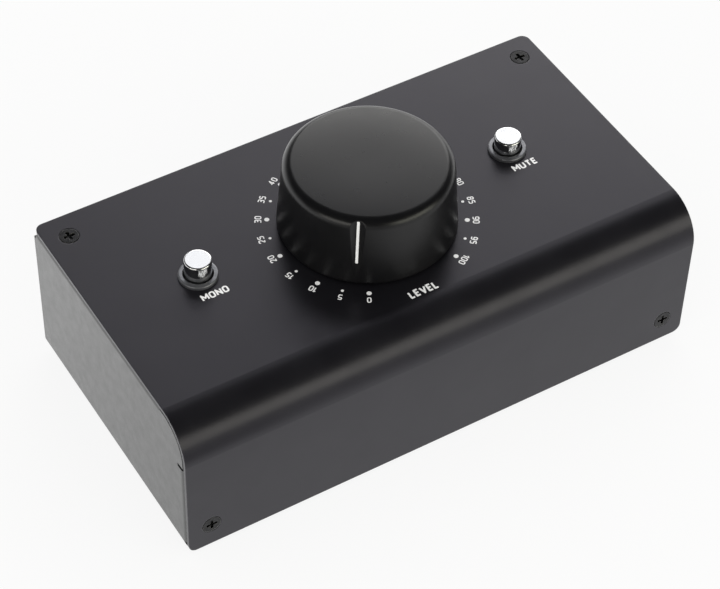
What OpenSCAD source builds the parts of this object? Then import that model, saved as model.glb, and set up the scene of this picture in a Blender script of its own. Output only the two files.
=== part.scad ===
// Studio monitor controller: a folded sheet-metal box with one large level knob,
// two latching push buttons on top and balanced audio connectors on the rear.
// +X is to the right, +Y to the rear, +Z up. The origin lies on the table,
// under the middle of the whole object.

/* [Case] */
// Width across the side panels
case_w = 145; // [142:0.5:156]
// Depth from the front face to the rear face
case_d = 78.2; // [77:0.2:86]
// Height from the bottom plate to the top panel
case_h = 42.1; // [41:0.1:48]
// Thickness of the steel sheet of the cover and the chassis
sheet_t = 1; // [0.8:0.1:1.2]
// Outer radius of the bend between the top and the front
bend_r = 10.6; // [8:0.1:12]
// How far the cover's front edge hangs below the bottom plate
front_lip = 0.4; // [0:0.1:0.8]
// Radius of the cover's rounded corners
cover_corner_r = 2.2; // [1:0.1:3]
// Outer radius of the folds along the chassis flanges
flange_bend_r = 1.5; // [1.3:0.1:1.8]
// Width of the flanges that the cover rests on
flange_w = 12.5; // [10:0.5:14]
// Depth of the flange along the top of the rear panel
rear_flange_d = 7; // [5:0.5:9]
// Outer radius of the fold between the bottom and the side panels
side_fold_r = 1.5; // [1.3:0.1:1.8]
// Outer radius of the fold between the bottom and the rear panel
rear_fold_r = 2; // [1.3:0.1:2.5]
// Gap between the cover and the cut edge of a side panel
cover_gap = 0.5; // [0.3:0.1:0.8]
// Bottom of the front flanges above the bottom plate
front_flange_low = 1.6; // [1.2:0.1:3]
// Top of the front flanges above the bottom plate
front_flange_high = 28.8; // [20:0.1:29]
// Size of the relief notches beside the folds
notch = 1.1; // [0.8:0.1:1.5]
// Width of the open seam between rear panel and side panel
seam_w = 0.3; // [0.2:0.1:0.5]

/* [Feet] */
// Height of a rubber foot
foot_h = 2; // [1.5:0.1:4]
// Radius of a rubber foot
foot_r = 5.5; // [4:0.5:7]
// Distance from a foot's centre to the side of the case
foot_inset_x = 12; // [9:0.5:16]
// Distance from a foot's centre to the front or rear of the case
foot_inset_y = 10; // [9:0.5:14]

/* [Screws] */
// Radius of the thread of all machine screws
thread_r = 1.45; // [1.3:0.05:1.5]
// Radius of the countersunk heads
flat_head_r = 2.4; // [2.2:0.1:2.5]
// Gap round a countersunk head
sink_gap = 0.22; // [0.1:0.01:0.3]
// Length of the cover screws
cover_screw_l = 5; // [4:0.1:5.4]
// Distance from a cover screw to the side of the case
cover_screw_inset_x = 6.3; // [5:0.1:7]
// Distance from the rear cover screws to the rear of the case
cover_screw_inset_y = 7.1; // [6:0.1:9]
// Height of the front cover screws above the bottom plate
cover_screw_z = 6.7; // [5.5:0.1:10]
// Radius of the pan heads
pan_head_r = 2.6; // [2.4:0.1:2.8]
// Height of the pan heads
pan_head_h = 1.6; // [1.4:0.1:1.9]
// Length of a cross recess from tip to tip
cross_l = 3; // [2.4:0.1:3.2]
// Width of the arms of a cross recess
cross_w = 0.85; // [0.6:0.05:1]
// Depth of a cross recess
cross_depth = 0.8; // [0.5:0.05:1]

/* [Knob] */
// Radius of the knob at its bottom edge
knob_r = 22.5; // [20:0.1:23.5]
// Radius of the knob where its side would meet the top
knob_top_r = 20.96; // [19:0.01:22]
// Height of the knob's top above the top panel
knob_top_h = 20.9; // [19:0.1:24]
// Gap between the knob and the top panel
knob_gap = 0.8; // [0.5:0.1:1.5]
// Radius of the knob's rounded top edge
knob_edge_r = 2.3; // [1:0.1:3]
// Wall of the knob's side
knob_wall = 3; // [2:0.1:4]
// Thickness of the knob's top
knob_roof_t = 3; // [2.4:0.1:4]
// Radius of the boss inside the knob
knob_boss_r = 6.8; // [6:0.1:9]
// Number of ribs inside the knob
knob_ribs = 6; // [3:1:8]
// Thickness of a rib inside the knob
knob_rib_t = 1.4; // [1:0.1:2]
// Radius of the hub insert
hub_r = 5; // [4.5:0.1:5.5]
// Length of the hub insert
hub_l = 11; // [8:0.5:12]
// Knob pointer's angle from the rear, clockwise seen from above
pointer_angle = -141.8; // [-150:0.1:150]
// Width of the white pointer line
pointer_w = 0.65; // [0.4:0.05:1]
// Height of the pointer line's lower end above the top panel
pointer_low = 7.1; // [4:0.1:9]
// Height of the pointer line's upper end above the top panel
pointer_high = 19.6; // [18:0.1:20]
// Thickness of the pointer line's inlay
pointer_t = 0.5; // [0.3:0.05:0.8]
// Radius of the scooped recess round the pointer line
scoop_r = 2.5; // [2.1:0.1:4]
// Depth of the scoop at the top of the knob
scoop_depth_high = 1; // [0.6:0.05:1.2]
// Depth of the scoop at the pointer line's lower end
scoop_depth_low = 0.22; // [0.15:0.01:0.4]

/* [Potentiometer] */
// Position of the knob's axis behind the middle of the case
pot_offset_y = 0.4; // [-2:0.1:3]
// Width of the potentiometer's case
pot_w = 17; // [16:0.5:19]
// Height of the potentiometer's case under the top panel
pot_h = 14; // [13.5:0.1:14.6]
// Wall of the potentiometer's case
pot_wall = 1.2; // [1:0.1:1.5]
// Radius of the shaft
shaft_r = 3; // [2.5:0.05:3.2]
// How far the flat is cut into the shaft
shaft_flat = 1.5; // [1:0.1:1.8]
// Radius of the threaded bush
bush_r = 4.5; // [4.2:0.1:5]
// Height of the threaded bush above the top panel
bush_h = 5; // [3.4:0.1:5.2]
// Thickness of the washer under the nut
washer_t = 0.5; // [0.3:0.1:0.8]
// Radius of the washer under the nut
washer_r = 7; // [6.8:0.1:8]
// Thickness of the potentiometer's nut
pot_nut_t = 2; // [1.6:0.1:2.4]
// Width of the potentiometer's nut across its flats
pot_nut_af = 11; // [10.6:0.1:12]
// Number of gangs, two for each side of a balanced stereo signal
gangs = 4; // [2:1:4]
// Thickness of a wafer with its resistive track
wafer_t = 0.8; // [0.6:0.1:1]
// Radius of a wiper
wiper_r = 6.2; // [5:0.1:6.5]
// Thickness of a wiper
wiper_t = 0.9; // [0.6:0.1:1]
// Distance between the potentiometer's rows of pins
pot_pin_row = 5; // [4:0.1:6]
// Distance between two pins in a row
pot_pin_pitch = 3.8; // [3:0.1:4]

/* [Buttons] */
// Distance from the mono button to the left side of the case
mono_inset = 27.3; // [26:0.1:29]
// Distance from the mute button to the right side of the case
mute_inset = 28.6; // [27:0.1:30]
// Position of the mono button behind the middle of the case
mono_offset_y = 4.5; // [2:0.1:5]
// Position of the mute button behind the middle of the case
mute_offset_y = 4.2; // [2:0.1:5]
// Radius of a button's cap
cap_r = 3.45; // [3:0.05:3.5]
// Radius of the rounded edge of a cap
cap_edge_r = 0.45; // [0.2:0.05:0.8]
// Height of a released cap above the top panel
cap_top_h = 5.8; // [5:0.1:7]
// Length of a cap
cap_l = 8.6; // [7.5:0.1:9]
// How far a latched button stays down
latch_drop = 1; // [0.8:0.1:1.5]
// How far a button can be pressed past its latched place
overtravel = 0.6; // [0.3:0.1:1]
// Outer radius of a button's bezel ring
bezel_r = 4.95; // [4.8:0.05:5.5]
// Height of a bezel ring above the top panel
bezel_h = 1; // [0.6:0.1:1.5]
// Radius of the opening in a bezel ring
bezel_bore_r = 3.85; // [3.75:0.05:4]
// Radius of the bezel's neck in the top panel
bezel_neck_r = 4.4; // [4.3:0.05:4.6]
// Length of the bezel's neck below the top panel
bezel_neck_l = 2.4; // [2:0.1:3]
// Width of a switch case
switch_w = 8; // [7.6:0.1:8.6]
// Height of a switch case above the control board
switch_h = 8.2; // [8:0.1:8.6]
// Wall of a switch case
switch_wall = 0.9; // [0.8:0.05:1.1]
// Width of a plunger's square stem
stem_w = 2.8; // [2.4:0.1:3]
// Width of the plunger's collar inside the switch
collar_w = 5.6; // [5:0.1:5.8]
// Height that a return spring keeps when its button is pressed all the way
pressed_spring_h = 3.15; // [2.8:0.05:3.4]
// Radius of a return spring to the middle of its wire
spring_r = 1.9; // [1.7:0.05:2.1]
// Radius of the spring wire
spring_wire_r = 0.2; // [0.15:0.01:0.22]
// Number of curls of a return spring
spring_curls = 4; // [3:1:4]

/* [Boards] */
// Thickness of both circuit boards
board_t = 1.6; // [1.4:0.1:1.8]
// Height of the press-in standoffs under the connector board
base_standoff_h = 2.9; // [2.6:0.1:3.4]
// Gap between each end of the connector board and the side panel
connector_board_gap = 5.5; // [2:0.5:8]
// Distance from the connector board's front edge to the middle of the case
connector_board_front = 7; // [6:0.5:10]
// Gap between each end of the control board and the cover's flange
control_board_gap = 4; // [2:0.5:6]
// Distance from the control board's front edge to the middle of the case
control_board_front = 23.5; // [22:0.5:25]
// Gap between the control board and the connectors behind it
board_gap = 1; // [0.6:0.1:1.5]
// Width of a standoff across its flats
standoff_af = 5.5; // [5:0.1:6]
// Radius of the pressed-in end of a standoff
standoff_neck_r = 2.1; // [2:0.05:2.3]
// Number of axial resistors on each side of the potentiometer
resistors_per_side = 4; // [1:1:4]
// Radius of a resistor's body
resistor_r = 1.2; // [0.9:0.1:1.3]
// Length of a resistor's body
resistor_l = 6.5; // [5:0.1:7.5]
// Distance between the legs of a resistor
resistor_pitch = 10.16; // [9:0.01:11]
// Distance between two resistors side by side
resistor_step = 3.2; // [2.8:0.1:3.4]
// Distance from the middle to each column of resistors
resistor_column_x = 7; // [6:0.1:9]
// Number of ribbon cable conductors
ribbon_ways = 10; // [6:1:12]
// Distance between two conductors of the ribbon cable
ribbon_pitch = 1.27; // [1.2:0.01:1.3]
// Distance of the ribbon cable to the left of the middle
ribbon_x = 26; // [25:0.5:29]
// Distance of the upper header in front of the potentiometer's axis
upper_header_gap = 13.4; // [12.8:0.1:15]
// Distance of the lower header in front of the potentiometer's axis
lower_header_gap = 1.9; // [1:0.1:3]
// Width of a header's shell past each edge of the ribbon
header_rim = 1.3; // [1:0.1:2]
// Height of the ribbon cable's headers
header_h = 6; // [5:0.1:7]
// Depth of the ribbon cable's headers
header_d = 5.8; // [5:0.1:7]
// Thickness of the ribbon cable
ribbon_t = 0.9; // [0.7:0.1:1]

/* [Rear connectors] */
// Gap between an outer connector housing and the cover screw beside it
connector_screw_gap = 0.3; // [0.2:0.1:1]
// Gap between two connector housings side by side
connector_gap = 0.6; // [0.3:0.1:1.2]
// Width of a connector housing
housing_w = 26; // [25:0.1:26.5]
// Gap between the connector housings and the sheet of the cover
housing_headroom = 4.6; // [4.4:0.1:6]
// Depth of a combination jack's housing
combo_depth = 25.5; // [24:0.1:25.8]
// Depth of an output connector's housing
output_depth = 21; // [19.5:0.1:23]
// Radius of a connector's round nose
nose_r = 11.6; // [11:0.1:11.8]
// How far a nose stands out from the rear panel
nose_proud = 0.8; // [0.4:0.1:1.4]
// Radius of the round groove that takes a plug's sleeve
sleeve_r = 9.7; // [9.6:0.05:10]
// Radius of the insert in a combination jack
insert_r = 7.9; // [7.8:0.05:8]
// Depth of the groove round the insert
sleeve_depth = 17; // [15:0.5:18]
// Thickness of the insert's base
insert_base_t = 3; // [2.5:0.1:4]
// Radius of the bore for a quarter-inch plug
jack_r = 3.25; // [3.22:0.01:3.28]
// Radius of the circle that the contacts stand on
contact_circle_r = 5.6; // [5.5:0.05:5.7]
// Radius of a contact pin
contact_r = 1.2; // [1.1:0.05:1.25]
// Radius of the cup of an output connector
cup_r = 8.1; // [8.05:0.05:8.4]
// Depth of the cup of an output connector
cup_depth = 13; // [12:0.5:14]
// Thickness of the insulator at the bottom of the cup
insulator_t = 3; // [2:0.5:4]
// Length of a contact pin in the cup
contact_l = 10; // [9:0.1:11]
// Distance of a connector screw from its axis, sideways
screw_dx = 9.5; // [9.3:0.05:10]
// Distance from a connector screw to the housing's upper or lower edge
screw_edge = 3.5; // [3.2:0.05:3.7]
// Length of a connector screw
connector_screw_l = 8; // [6:0.5:10]
// Distance from the solder pins of the connectors to the rear panel
pin_setback = 8; // [7:0.5:10]
// Distance between two solder pins of a connector
pin_pitch = 5.08; // [4.5:0.01:5.5]
// Radius of the solder pins
pin_r = 0.45; // [0.3:0.05:0.5]

/* [Small jack] */
// Width of the small jack's body
mini_w = 9; // [8:0.5:10]
// Depth of the small jack's body
mini_depth = 14; // [12:0.5:15]
// Height of the small jack's axis above the connector board
mini_axis_h = 5.5; // [5:0.1:8]
// Radius of the small jack's threaded bush
mini_bush_r = 3; // [2.8:0.1:3.4]
// Radius of the bore for a 3.5 mm plug
mini_jack_r = 1.8; // [1.78:0.01:1.82]
// Radius of the small jack's round nut
mini_nut_r = 4.2; // [4:0.1:4.8]
// Thickness of the small jack's nut, the part that stands out furthest at the rear
mini_nut_t = 2; // [1.7:0.1:2.6]

/* [Hidden] */

$fn = 64;

// Clearances
run_fit = 0.05;      // radial gap of a shaft that turns or slides in its bore
loose_fit = 0.1;     // radial gap round a thread or a pin
through = 1;         // how far a cutting tool reaches past the face it cuts

// Ribbon cable and its headers
ribbon_w = ribbon_ways * ribbon_pitch;
header_w = ribbon_w + 2 * header_rim;

// Levels and edges of the case
case_y = -mini_nut_t / 2;
front_y = case_y - case_d / 2;
rear_y = case_y + case_d / 2;
side_x = case_w / 2;
base_z = foot_h;
floor_z = base_z + sheet_t;
top_z = base_z + case_h;
ceiling_z = top_z - sheet_t;
inner_front_y = front_y + sheet_t;
inner_rear_y = rear_y - sheet_t;
bottom_front_y = inner_front_y + cover_gap;
flat_side_front_y = inner_front_y + flange_bend_r;
flat_side_top_z = ceiling_z - flange_bend_r;
top_flange_front_y = front_y + bend_r + flange_bend_r;
corner_relief_y = inner_rear_y - seam_w;
flange_leg = 0.3;    // how far a fold reaches into the panel below it
flange_gap = 2;      // between the ends of the rear flange and the side flanges

// Cover screws
cover_screw_x = side_x - cover_screw_inset_x;
cover_screw_y = rear_y - cover_screw_inset_y;
front_screw_z = base_z + cover_screw_z;

// Potentiometer and knob
pot_y = case_y + pot_offset_y;
pot_low_z = ceiling_z - pot_h;
bush_top_z = top_z + bush_h;
knob_low_z = top_z + knob_gap;
knob_high_z = top_z + knob_top_h;
knob_h = knob_high_z - knob_low_z;
knob_taper = atan((knob_r - knob_top_r) / knob_h);
knob_cavity_r = knob_top_r - knob_wall + 1;
knob_roof_z = knob_high_z - knob_roof_t;
hub_low_z = knob_roof_z - hub_l;
boss_low_z = hub_low_z;
rib_low_z = boss_low_z + 1;
rib_start_r = knob_boss_r - 1;
shaft_top_z = knob_roof_z - 1;
shaft_low_z = pot_low_z + pot_wall + run_fit;
flat_low_z = hub_low_z;
gang_pitch = (pot_h - 2 * pot_wall) / gangs;

// Places of the buttons
mono_x = side_x - mono_inset;
mute_x = side_x - mute_inset;
mono_y = case_y + mono_offset_y;
mute_y = case_y + mute_offset_y;
mono_drop = 0;
mute_drop = latch_drop;

// Boards
board_top_z = floor_z + base_standoff_h + board_t;
board_low_z = board_top_z - board_t;
housing_h = ceiling_z - housing_headroom - board_top_z;
connector_z = board_top_z + housing_h / 2;
screw_dz = housing_h / 2 - screw_edge;
connector_outer_x = cover_screw_x - thread_r - connector_screw_gap - housing_w / 2;
connector_inner_x = connector_outer_x - housing_w - connector_gap;
control_top_z = pot_low_z;
control_low_z = control_top_z - board_t;
connector_board_front_y = case_y - connector_board_front;
connector_board_rear_y = inner_rear_y - loose_fit;
control_board_front_y = case_y - control_board_front;
control_board_rear_y = inner_rear_y - combo_depth - board_gap;
connector_board_w = case_w - 2 * (sheet_t + connector_board_gap);
control_board_w = case_w - 2 * (flange_w + control_board_gap);
pin_tail = 1;        // how far solder pins stand out under a board
screw_margin = 5;    // from a standoff's axis to the edge of its board
base_standoff_y = connector_board_front_y + screw_margin;
base_standoff_x = connector_board_w / 2 - screw_margin;
inner_standoff_x = ribbon_x - header_w / 2 - screw_margin;
base_standoff_places = [
    for (x = [base_standoff_x, inner_standoff_x]) for (s = [-1, 1]) [s * x, base_standoff_y]
];
front_standoff_x = control_board_w / 2 - screw_margin;
rear_standoff_x = mute_x - switch_w / 2 - screw_margin;
control_standoff_places = [
    for (s = [-1, 1]) [s * front_standoff_x, control_board_front_y + screw_margin],
    for (s = [-1, 1]) [s * rear_standoff_x, control_board_rear_y - screw_margin]
];
standoff_screw_l = 4;

// Insides of the buttons
switch_top_z = control_top_z + switch_h;
collar_top_z = switch_top_z - switch_wall - run_fit;
collar_low_z = control_top_z + switch_wall + pressed_spring_h + overtravel + latch_drop;
plug_l = 3.5;        // how deep a plunger's stem sits in its cap

// Solder pins: places on a board under the piece that they carry
pot_pin_places = [
    for (i = [-1 : 1]) for (g = [0 : gangs - 1])
        [i * pot_pin_row, pot_y + (g - (gangs - 1) / 2) * pot_pin_pitch]
];
switch_pin_places = [
    for (s = [-1, 1]) for (i = [-1 : 1]) [s, i] * (switch_w / 2 - switch_wall - pin_r)
];
housing_pin_places = [
    for (i = [-1.5 : 1.5]) [i * pin_pitch, inner_rear_y - pin_setback]
];
connector_places = [-connector_outer_x, -connector_inner_x, connector_inner_x, connector_outer_x];
mini_pin_places = [
    for (i = [-1 : 1]) [i * pin_pitch / 2, inner_rear_y - pin_setback - abs(i) * 2]
];
connector_pin_places = concat(
    [for (c = connector_places) for (p = housing_pin_places) [c + p[0], p[1]]],
    mini_pin_places
);

// Resistors: rows of two in front of the potentiometer, each lying along x
resistor_lift = 0.3;
resistor_axis_z = control_top_z + resistor_r + resistor_lift;
resistor_first_y = pot_y - pot_w / 2 - resistor_step;
resistor_places = [
    for (side = [-1, 1]) for (i = [0 : resistors_per_side - 1])
        [side * resistor_column_x, resistor_first_y - i * resistor_step]
];
resistor_leg_places = [
    for (p = resistor_places) for (s = [-1, 1]) p + [s * resistor_pitch / 2, 0]
];
lead_r = 0.28;
leg_r = 0.32;

// Ribbon cable between the boards
upper_header_y = pot_y - upper_header_gap;
lower_header_y = pot_y - lower_header_gap;
upper_header_z = control_low_z - header_h;
lower_header_z = board_top_z + header_h;
ribbon_straight = 0.6;
ribbon_bend_r = (upper_header_z - lower_header_z) / 2 - ribbon_straight;
ribbon_grip = 3;     // how deep each end of the ribbon sits in its header

// Rear connectors
mini_z = board_top_z + mini_axis_h;
contact_angles = [0, 180, 270];
leaf_angles = [40, 90, 140];
insert_recess = 0.5; // how far an insert lies behind its housing's mouth
socket_r = contact_r + 0.25;
socket_recess = 2;   // how far a socket lies behind the insert's face
leaf_t = 0.4;
leaf_w = 1;
leaf_l = 8;
leaf_gap = 0.6;      // between a leaf at rest and the bore for the plug
combo_cavity = sleeve_depth + insert_base_t;
output_cavity = cup_depth + insulator_t;

// ---------- Helpers ----------

// Draws a (y, z) outline as a plate or bar that runs along x, centred on x = 0
module along_x(width) {
    rotate([90, 0, 90])
        linear_extrude(width, center = true)
            children();
}

// Puts a piece on the rear panel: its x to the viewer's right, y up, z out of the case
module on_rear(x, z) {
    translate([x, rear_y, z])
        rotate([90, 0, 180])
            children();
}

module both_sides() {
    children();
    mirror([1, 0, 0])
        children();
}

module rounded_rect(width, height, r) {
    square([width - 2 * r, height], center = true);
    square([width, height - 2 * r], center = true);
    for (x = [-1, 1])
        for (y = [-1, 1])
            translate([x * (width / 2 - r), y * (height / 2 - r)])
                circle(r);
}

module quarter_disc(r) {
    intersection() {
        circle(r);
        square(2 * r);
    }
}

// Space behind and under the cover's outer face, drawn back by inset, in the (y, z) plane
module behind_cover(inset, low, rear) {
    corner_y = front_y + bend_r;
    corner_z = top_z - bend_r;
    translate([front_y + inset, low])
        square([rear - front_y - inset, corner_z - low]);
    translate([corner_y, low])
        square([rear - corner_y, top_z - inset - low]);
    translate([corner_y, corner_z])
        circle(bend_r - inset);
}

// Cross-section of a fold and its flange: outer faces on x = 0 and y = 0
module flange_section(reach) {
    translate([flange_bend_r, -flange_bend_r])
        intersection() {
            difference() {
                circle(flange_bend_r);
                circle(flange_bend_r - sheet_t);
            }
            translate([-flange_bend_r, 0])
                square(flange_bend_r);
        }
    translate([flange_bend_r, -sheet_t])
        square([reach - flange_bend_r, sheet_t]);
    translate([0, -flange_bend_r - flange_leg])
        square([sheet_t, flange_leg + run_fit]);
}

// Cross recess cut from z = 0 downwards
module cross_recess() {
    for (a = [0, 90])
        rotate(a)
            translate([-cross_l / 2, -cross_w / 2, -cross_depth])
                cube([cross_l, cross_w, cross_depth + through]);
}

// Countersunk screw, its flat face on z = 0 and its thread down
module flat_screw(length) {
    head_h = sheet_t - run_fit;
    difference() {
        union() {
            translate([0, 0, -head_h])
                cylinder(r1 = thread_r, r2 = flat_head_r, h = head_h);
            translate([0, 0, -length])
                cylinder(r = thread_r, h = length - head_h);
        }
        cross_recess();
    }
}

// Pan-head screw, the underside of its head on z = 0 and its thread down
module pan_screw(length) {
    dome_r = 1.6 * pan_head_r;
    difference() {
        union() {
            intersection() {
                cylinder(r = pan_head_r, h = pan_head_h);
                translate([0, 0, pan_head_h - dome_r])
                    sphere(dome_r);
            }
            translate([0, 0, -length])
                cylinder(r = thread_r, h = length);
        }
        translate([0, 0, pan_head_h])
            cross_recess();
    }
}

// Countersunk hole for a cover screw, its wide end on z = 0
module sunk_hole() {
    translate([0, 0, -sheet_t])
        cylinder(r1 = thread_r + sink_gap, r2 = flat_head_r + sink_gap, h = sheet_t);
    translate([0, 0, -sheet_t - through])
        cylinder(r = thread_r + sink_gap, h = through + run_fit);
    translate([0, 0, -run_fit])
        cylinder(r = flat_head_r + sink_gap, h = through);
}

module at_cover_screws() {
    for (side = [-1, 1]) {
        translate([side * cover_screw_x, cover_screw_y, top_z])
            children();
        translate([side * cover_screw_x, front_y, front_screw_z])
            rotate([90, 0, 0])
                children();
    }
}

module at_connector_screws() {
    for (c = connector_places)
        on_rear(c, connector_z)
            for (s = [-1, 1])
                translate([-s * screw_dx, s * screw_dz, 0])
                    children();
}

// Unbroken helical wire from z = low to z = high
module coil_spring(low, high) {
    steps = 8 * spring_curls;
    sides = 6;
    rise = high - low - 2 * spring_wire_r;
    wire = [
        for (i = [0 : steps]) for (j = [0 : sides - 1])
            let (a = 360 * i * spring_curls / steps, b = 360 * j / sides)
                let (r = spring_r + spring_wire_r * cos(b))
                    [r * cos(a), r * sin(a), low + spring_wire_r + rise * i / steps + spring_wire_r * sin(b)]
    ];
    walls = [
        for (i = [0 : steps - 1]) for (j = [0 : sides - 1])
            let (k = (j + 1) % sides, p = i * sides, q = (i + 1) * sides)
                each [[p + j, p + k, q + k], [p + j, q + k, q + j]]
    ];
    start = [for (j = [1 : sides - 2]) [0, j + 1, j]];
    end = [for (j = [1 : sides - 2]) let (p = steps * sides) [p, p + j, p + j + 1]];
    polyhedron(points = wire, faces = concat(walls, start, end));
}

// ---------- Casing ----------

module top_cover() {
    plan_depth = case_d + 2 * bend_r;
    face_height = case_h + front_lip + 2 * bend_r;
    color([0.13, 0.13, 0.14])
        difference() {
            intersection() {
                along_x(case_w)
                    difference() {
                        behind_cover(0, base_z - front_lip, rear_y);
                        behind_cover(sheet_t, base_z - front_lip - through, rear_y + through);
                    }
                translate([0, rear_y - plan_depth / 2, 0])
                    linear_extrude(top_z + through)
                        rounded_rect(case_w, plan_depth, cover_corner_r);
                translate([0, rear_y + through, base_z - front_lip + face_height / 2])
                    rotate([90, 0, 0])
                        linear_extrude(case_d + 2 * through)
                            rounded_rect(case_w, face_height, cover_corner_r);
            }
            at_cover_screws()
                sunk_hole();
            translate([0, pot_y, ceiling_z - through])
                cylinder(r = bush_r + loose_fit, h = sheet_t + 2 * through);
            translate([-mono_x, mono_y, ceiling_z - through])
                cylinder(r = bezel_neck_r + run_fit, h = sheet_t + 2 * through);
            translate([mute_x, mute_y, ceiling_z - through])
                cylinder(r = bezel_neck_r + run_fit, h = sheet_t + 2 * through);
        }
}

// Flat part of a side panel in the (y, z) plane
module side_panel_outline() {
    difference() {
        behind_cover(sheet_t + cover_gap, base_z, rear_y);
        translate([top_flange_front_y, flat_side_top_z])
            square([case_d, case_h]);
        translate([front_y, base_z - through])
            square([flat_side_front_y - front_y, front_flange_high + through]);
        translate([front_y, base_z + front_flange_high])
            square([sheet_t + 2 * flange_bend_r, notch]);
        translate([rear_y - notch, flat_side_top_z - notch / 2])
            square([notch + through, case_h]);
    }
}

// Side panel with its top and front flanges, on the left
module side_panel() {
    translate([sheet_t / 2 - side_x, 0, 0])
        along_x(sheet_t)
            side_panel_outline();
    translate([-side_x, corner_relief_y, ceiling_z])
        rotate([90, 0, 0])
            linear_extrude(corner_relief_y - top_flange_front_y)
                flange_section(flange_w);
    translate([-side_x, inner_front_y, base_z + front_flange_low])
        mirror([0, 1, 0])
            linear_extrude(front_flange_high - front_flange_low)
                flange_section(flange_w);
}

module rear_panel_plate() {
    inner_w = case_w - 2 * sheet_t;
    flange_len = case_w - 2 * (flange_w + flange_gap);
    translate([-inner_w / 2, inner_rear_y, base_z])
        cube([inner_w, sheet_t, flat_side_top_z - base_z]);
    translate([0, rear_y, ceiling_z])
        mirror([0, 1, 0])
            along_x(flange_len)
                flange_section(rear_flange_d);
}

module chassis() {
    inner_w = case_w - 2 * sheet_t;
    color([0.15, 0.15, 0.155])
        difference() {
            intersection() {
                union() {
                    both_sides()
                        side_panel();
                    translate([-side_x, bottom_front_y, base_z])
                        cube([case_w, rear_y - bottom_front_y, sheet_t]);
                    rear_panel_plate();
                }
                // folds along the sides of the bottom
                translate([0, rear_y + through, base_z + case_h])
                    rotate([90, 0, 0])
                        linear_extrude(case_d + 2 * through)
                            rounded_rect(case_w, 2 * case_h, side_fold_r);
                // fold along the rear of the bottom
                translate([0, rear_y - case_d, base_z + case_h])
                    along_x(case_w + through)
                        rounded_rect(2 * case_d, 2 * case_h, rear_fold_r);
            }
            // open seams beside the rear panel
            both_sides()
                translate([-inner_w / 2, inner_rear_y - through, base_z + rear_fold_r])
                    cube([seam_w, sheet_t + 2 * through, case_h]);
            at_cover_screws()
                translate([0, 0, -sheet_t - flange_bend_r])
                    cylinder(r = thread_r + loose_fit, h = flange_bend_r + through);
            for (p = base_standoff_places)
                translate([p[0], p[1], base_z - through])
                    cylinder(r = standoff_neck_r + run_fit, h = sheet_t + 2 * through);
            for (c = connector_places)
                on_rear(c, connector_z)
                    translate([0, 0, -sheet_t - through])
                        cylinder(r = nose_r + loose_fit, h = sheet_t + 2 * through);
            at_connector_screws()
                translate([0, 0, -sheet_t - through])
                    cylinder(r = thread_r + loose_fit, h = sheet_t + 2 * through);
            on_rear(0, mini_z)
                translate([0, 0, -sheet_t - through])
                    cylinder(r = mini_bush_r + loose_fit, h = sheet_t + 2 * through);
        }
}

module cover_screws() {
    color([0.08, 0.08, 0.085])
        at_cover_screws()
            flat_screw(cover_screw_l);
}

module feet() {
    edge = 0.6;
    color([0.05, 0.05, 0.05])
        for (x = [-1, 1])
            for (y = [-1, 1])
                translate([x * (side_x - foot_inset_x), case_y + y * (case_d / 2 - foot_inset_y), 0]) {
                    cylinder(r1 = foot_r - edge, r2 = foot_r, h = edge);
                    translate([0, 0, edge])
                        cylinder(r = foot_r, h = foot_h - edge);
                }
}

// ---------- Knob ----------

// Outer half profile of the knob: tapered side, true round edge, flat top
module knob_profile() {
    edge_z = knob_high_z - knob_edge_r;
    side_r = knob_r - (edge_z - knob_low_z) * tan(knob_taper);
    edge_x = side_r - knob_edge_r;
    polygon([
        [0, knob_low_z],
        [knob_r, knob_low_z],
        [side_r, edge_z],
        [edge_x, edge_z],
        [edge_x, knob_high_z],
        [0, knob_high_z]
    ]);
    translate([edge_x, edge_z])
        quarter_disc(knob_edge_r);
}

// Frame of the pointer: x outwards, z up along the floor of the scoop, origin at its lower end
module pointer_frame() {
    low_r = knob_r - (pointer_low - knob_gap) * tan(knob_taper) - scoop_depth_low;
    high_r = knob_r - (pointer_high - knob_gap) * tan(knob_taper) - scoop_depth_high;
    lean = atan((low_r - high_r) / (pointer_high - pointer_low));
    translate([0, pot_y, 0])
        rotate(90 - pointer_angle)
            translate([low_r, 0, top_z + pointer_low])
                rotate([0, -lean, 0])
                    children();
}

// Round-bottomed scoop, its deepest point on the origin and its mouth towards +x
module scoop_section() {
    steps = 24;
    reach = 72;
    polygon(concat(
        [for (i = [0 : steps]) let (a = reach * (2 * i / steps - 1)) scoop_r * [1 - cos(a), sin(a)]],
        [[3 * scoop_r, scoop_r], [3 * scoop_r, -scoop_r]]
    ));
}

module pointer_bar() {
    translate([-pointer_t, -pointer_w / 2, 0])
        cube([pointer_t + run_fit, pointer_w, pointer_high - pointer_low]);
}

module knob_shell() {
    color([0.07, 0.07, 0.075])
        difference() {
            translate([0, pot_y, 0])
                rotate_extrude()
                    knob_profile();
            translate([0, pot_y, knob_low_z - through])
                difference() {
                    cylinder(r = knob_cavity_r, h = knob_roof_z - knob_low_z + through);
                    translate([0, 0, boss_low_z - knob_low_z + through])
                        cylinder(r = knob_boss_r, h = knob_h);
                    for (i = [1 : knob_ribs])
                        rotate(360 * i / knob_ribs)
                            translate([rib_start_r, -knob_rib_t / 2, rib_low_z - knob_low_z + through])
                                cube([knob_r, knob_rib_t, knob_h]);
                }
            translate([0, pot_y, boss_low_z - through])
                cylinder(r = hub_r + run_fit, h = knob_roof_z - boss_low_z + through);
            pointer_frame()
                translate([0, 0, -2 * knob_h])
                    linear_extrude(3 * knob_h)
                        scoop_section();
            pointer_frame()
                pointer_bar();
        }
}

module pointer_line() {
    color([0.93, 0.93, 0.92])
        pointer_frame()
            pointer_bar();
}

module shaft_profile(gap) {
    difference() {
        circle(shaft_r + gap);
        translate([shaft_r - shaft_flat + gap, -2 * shaft_r])
            square(4 * shaft_r);
    }
}

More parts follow.
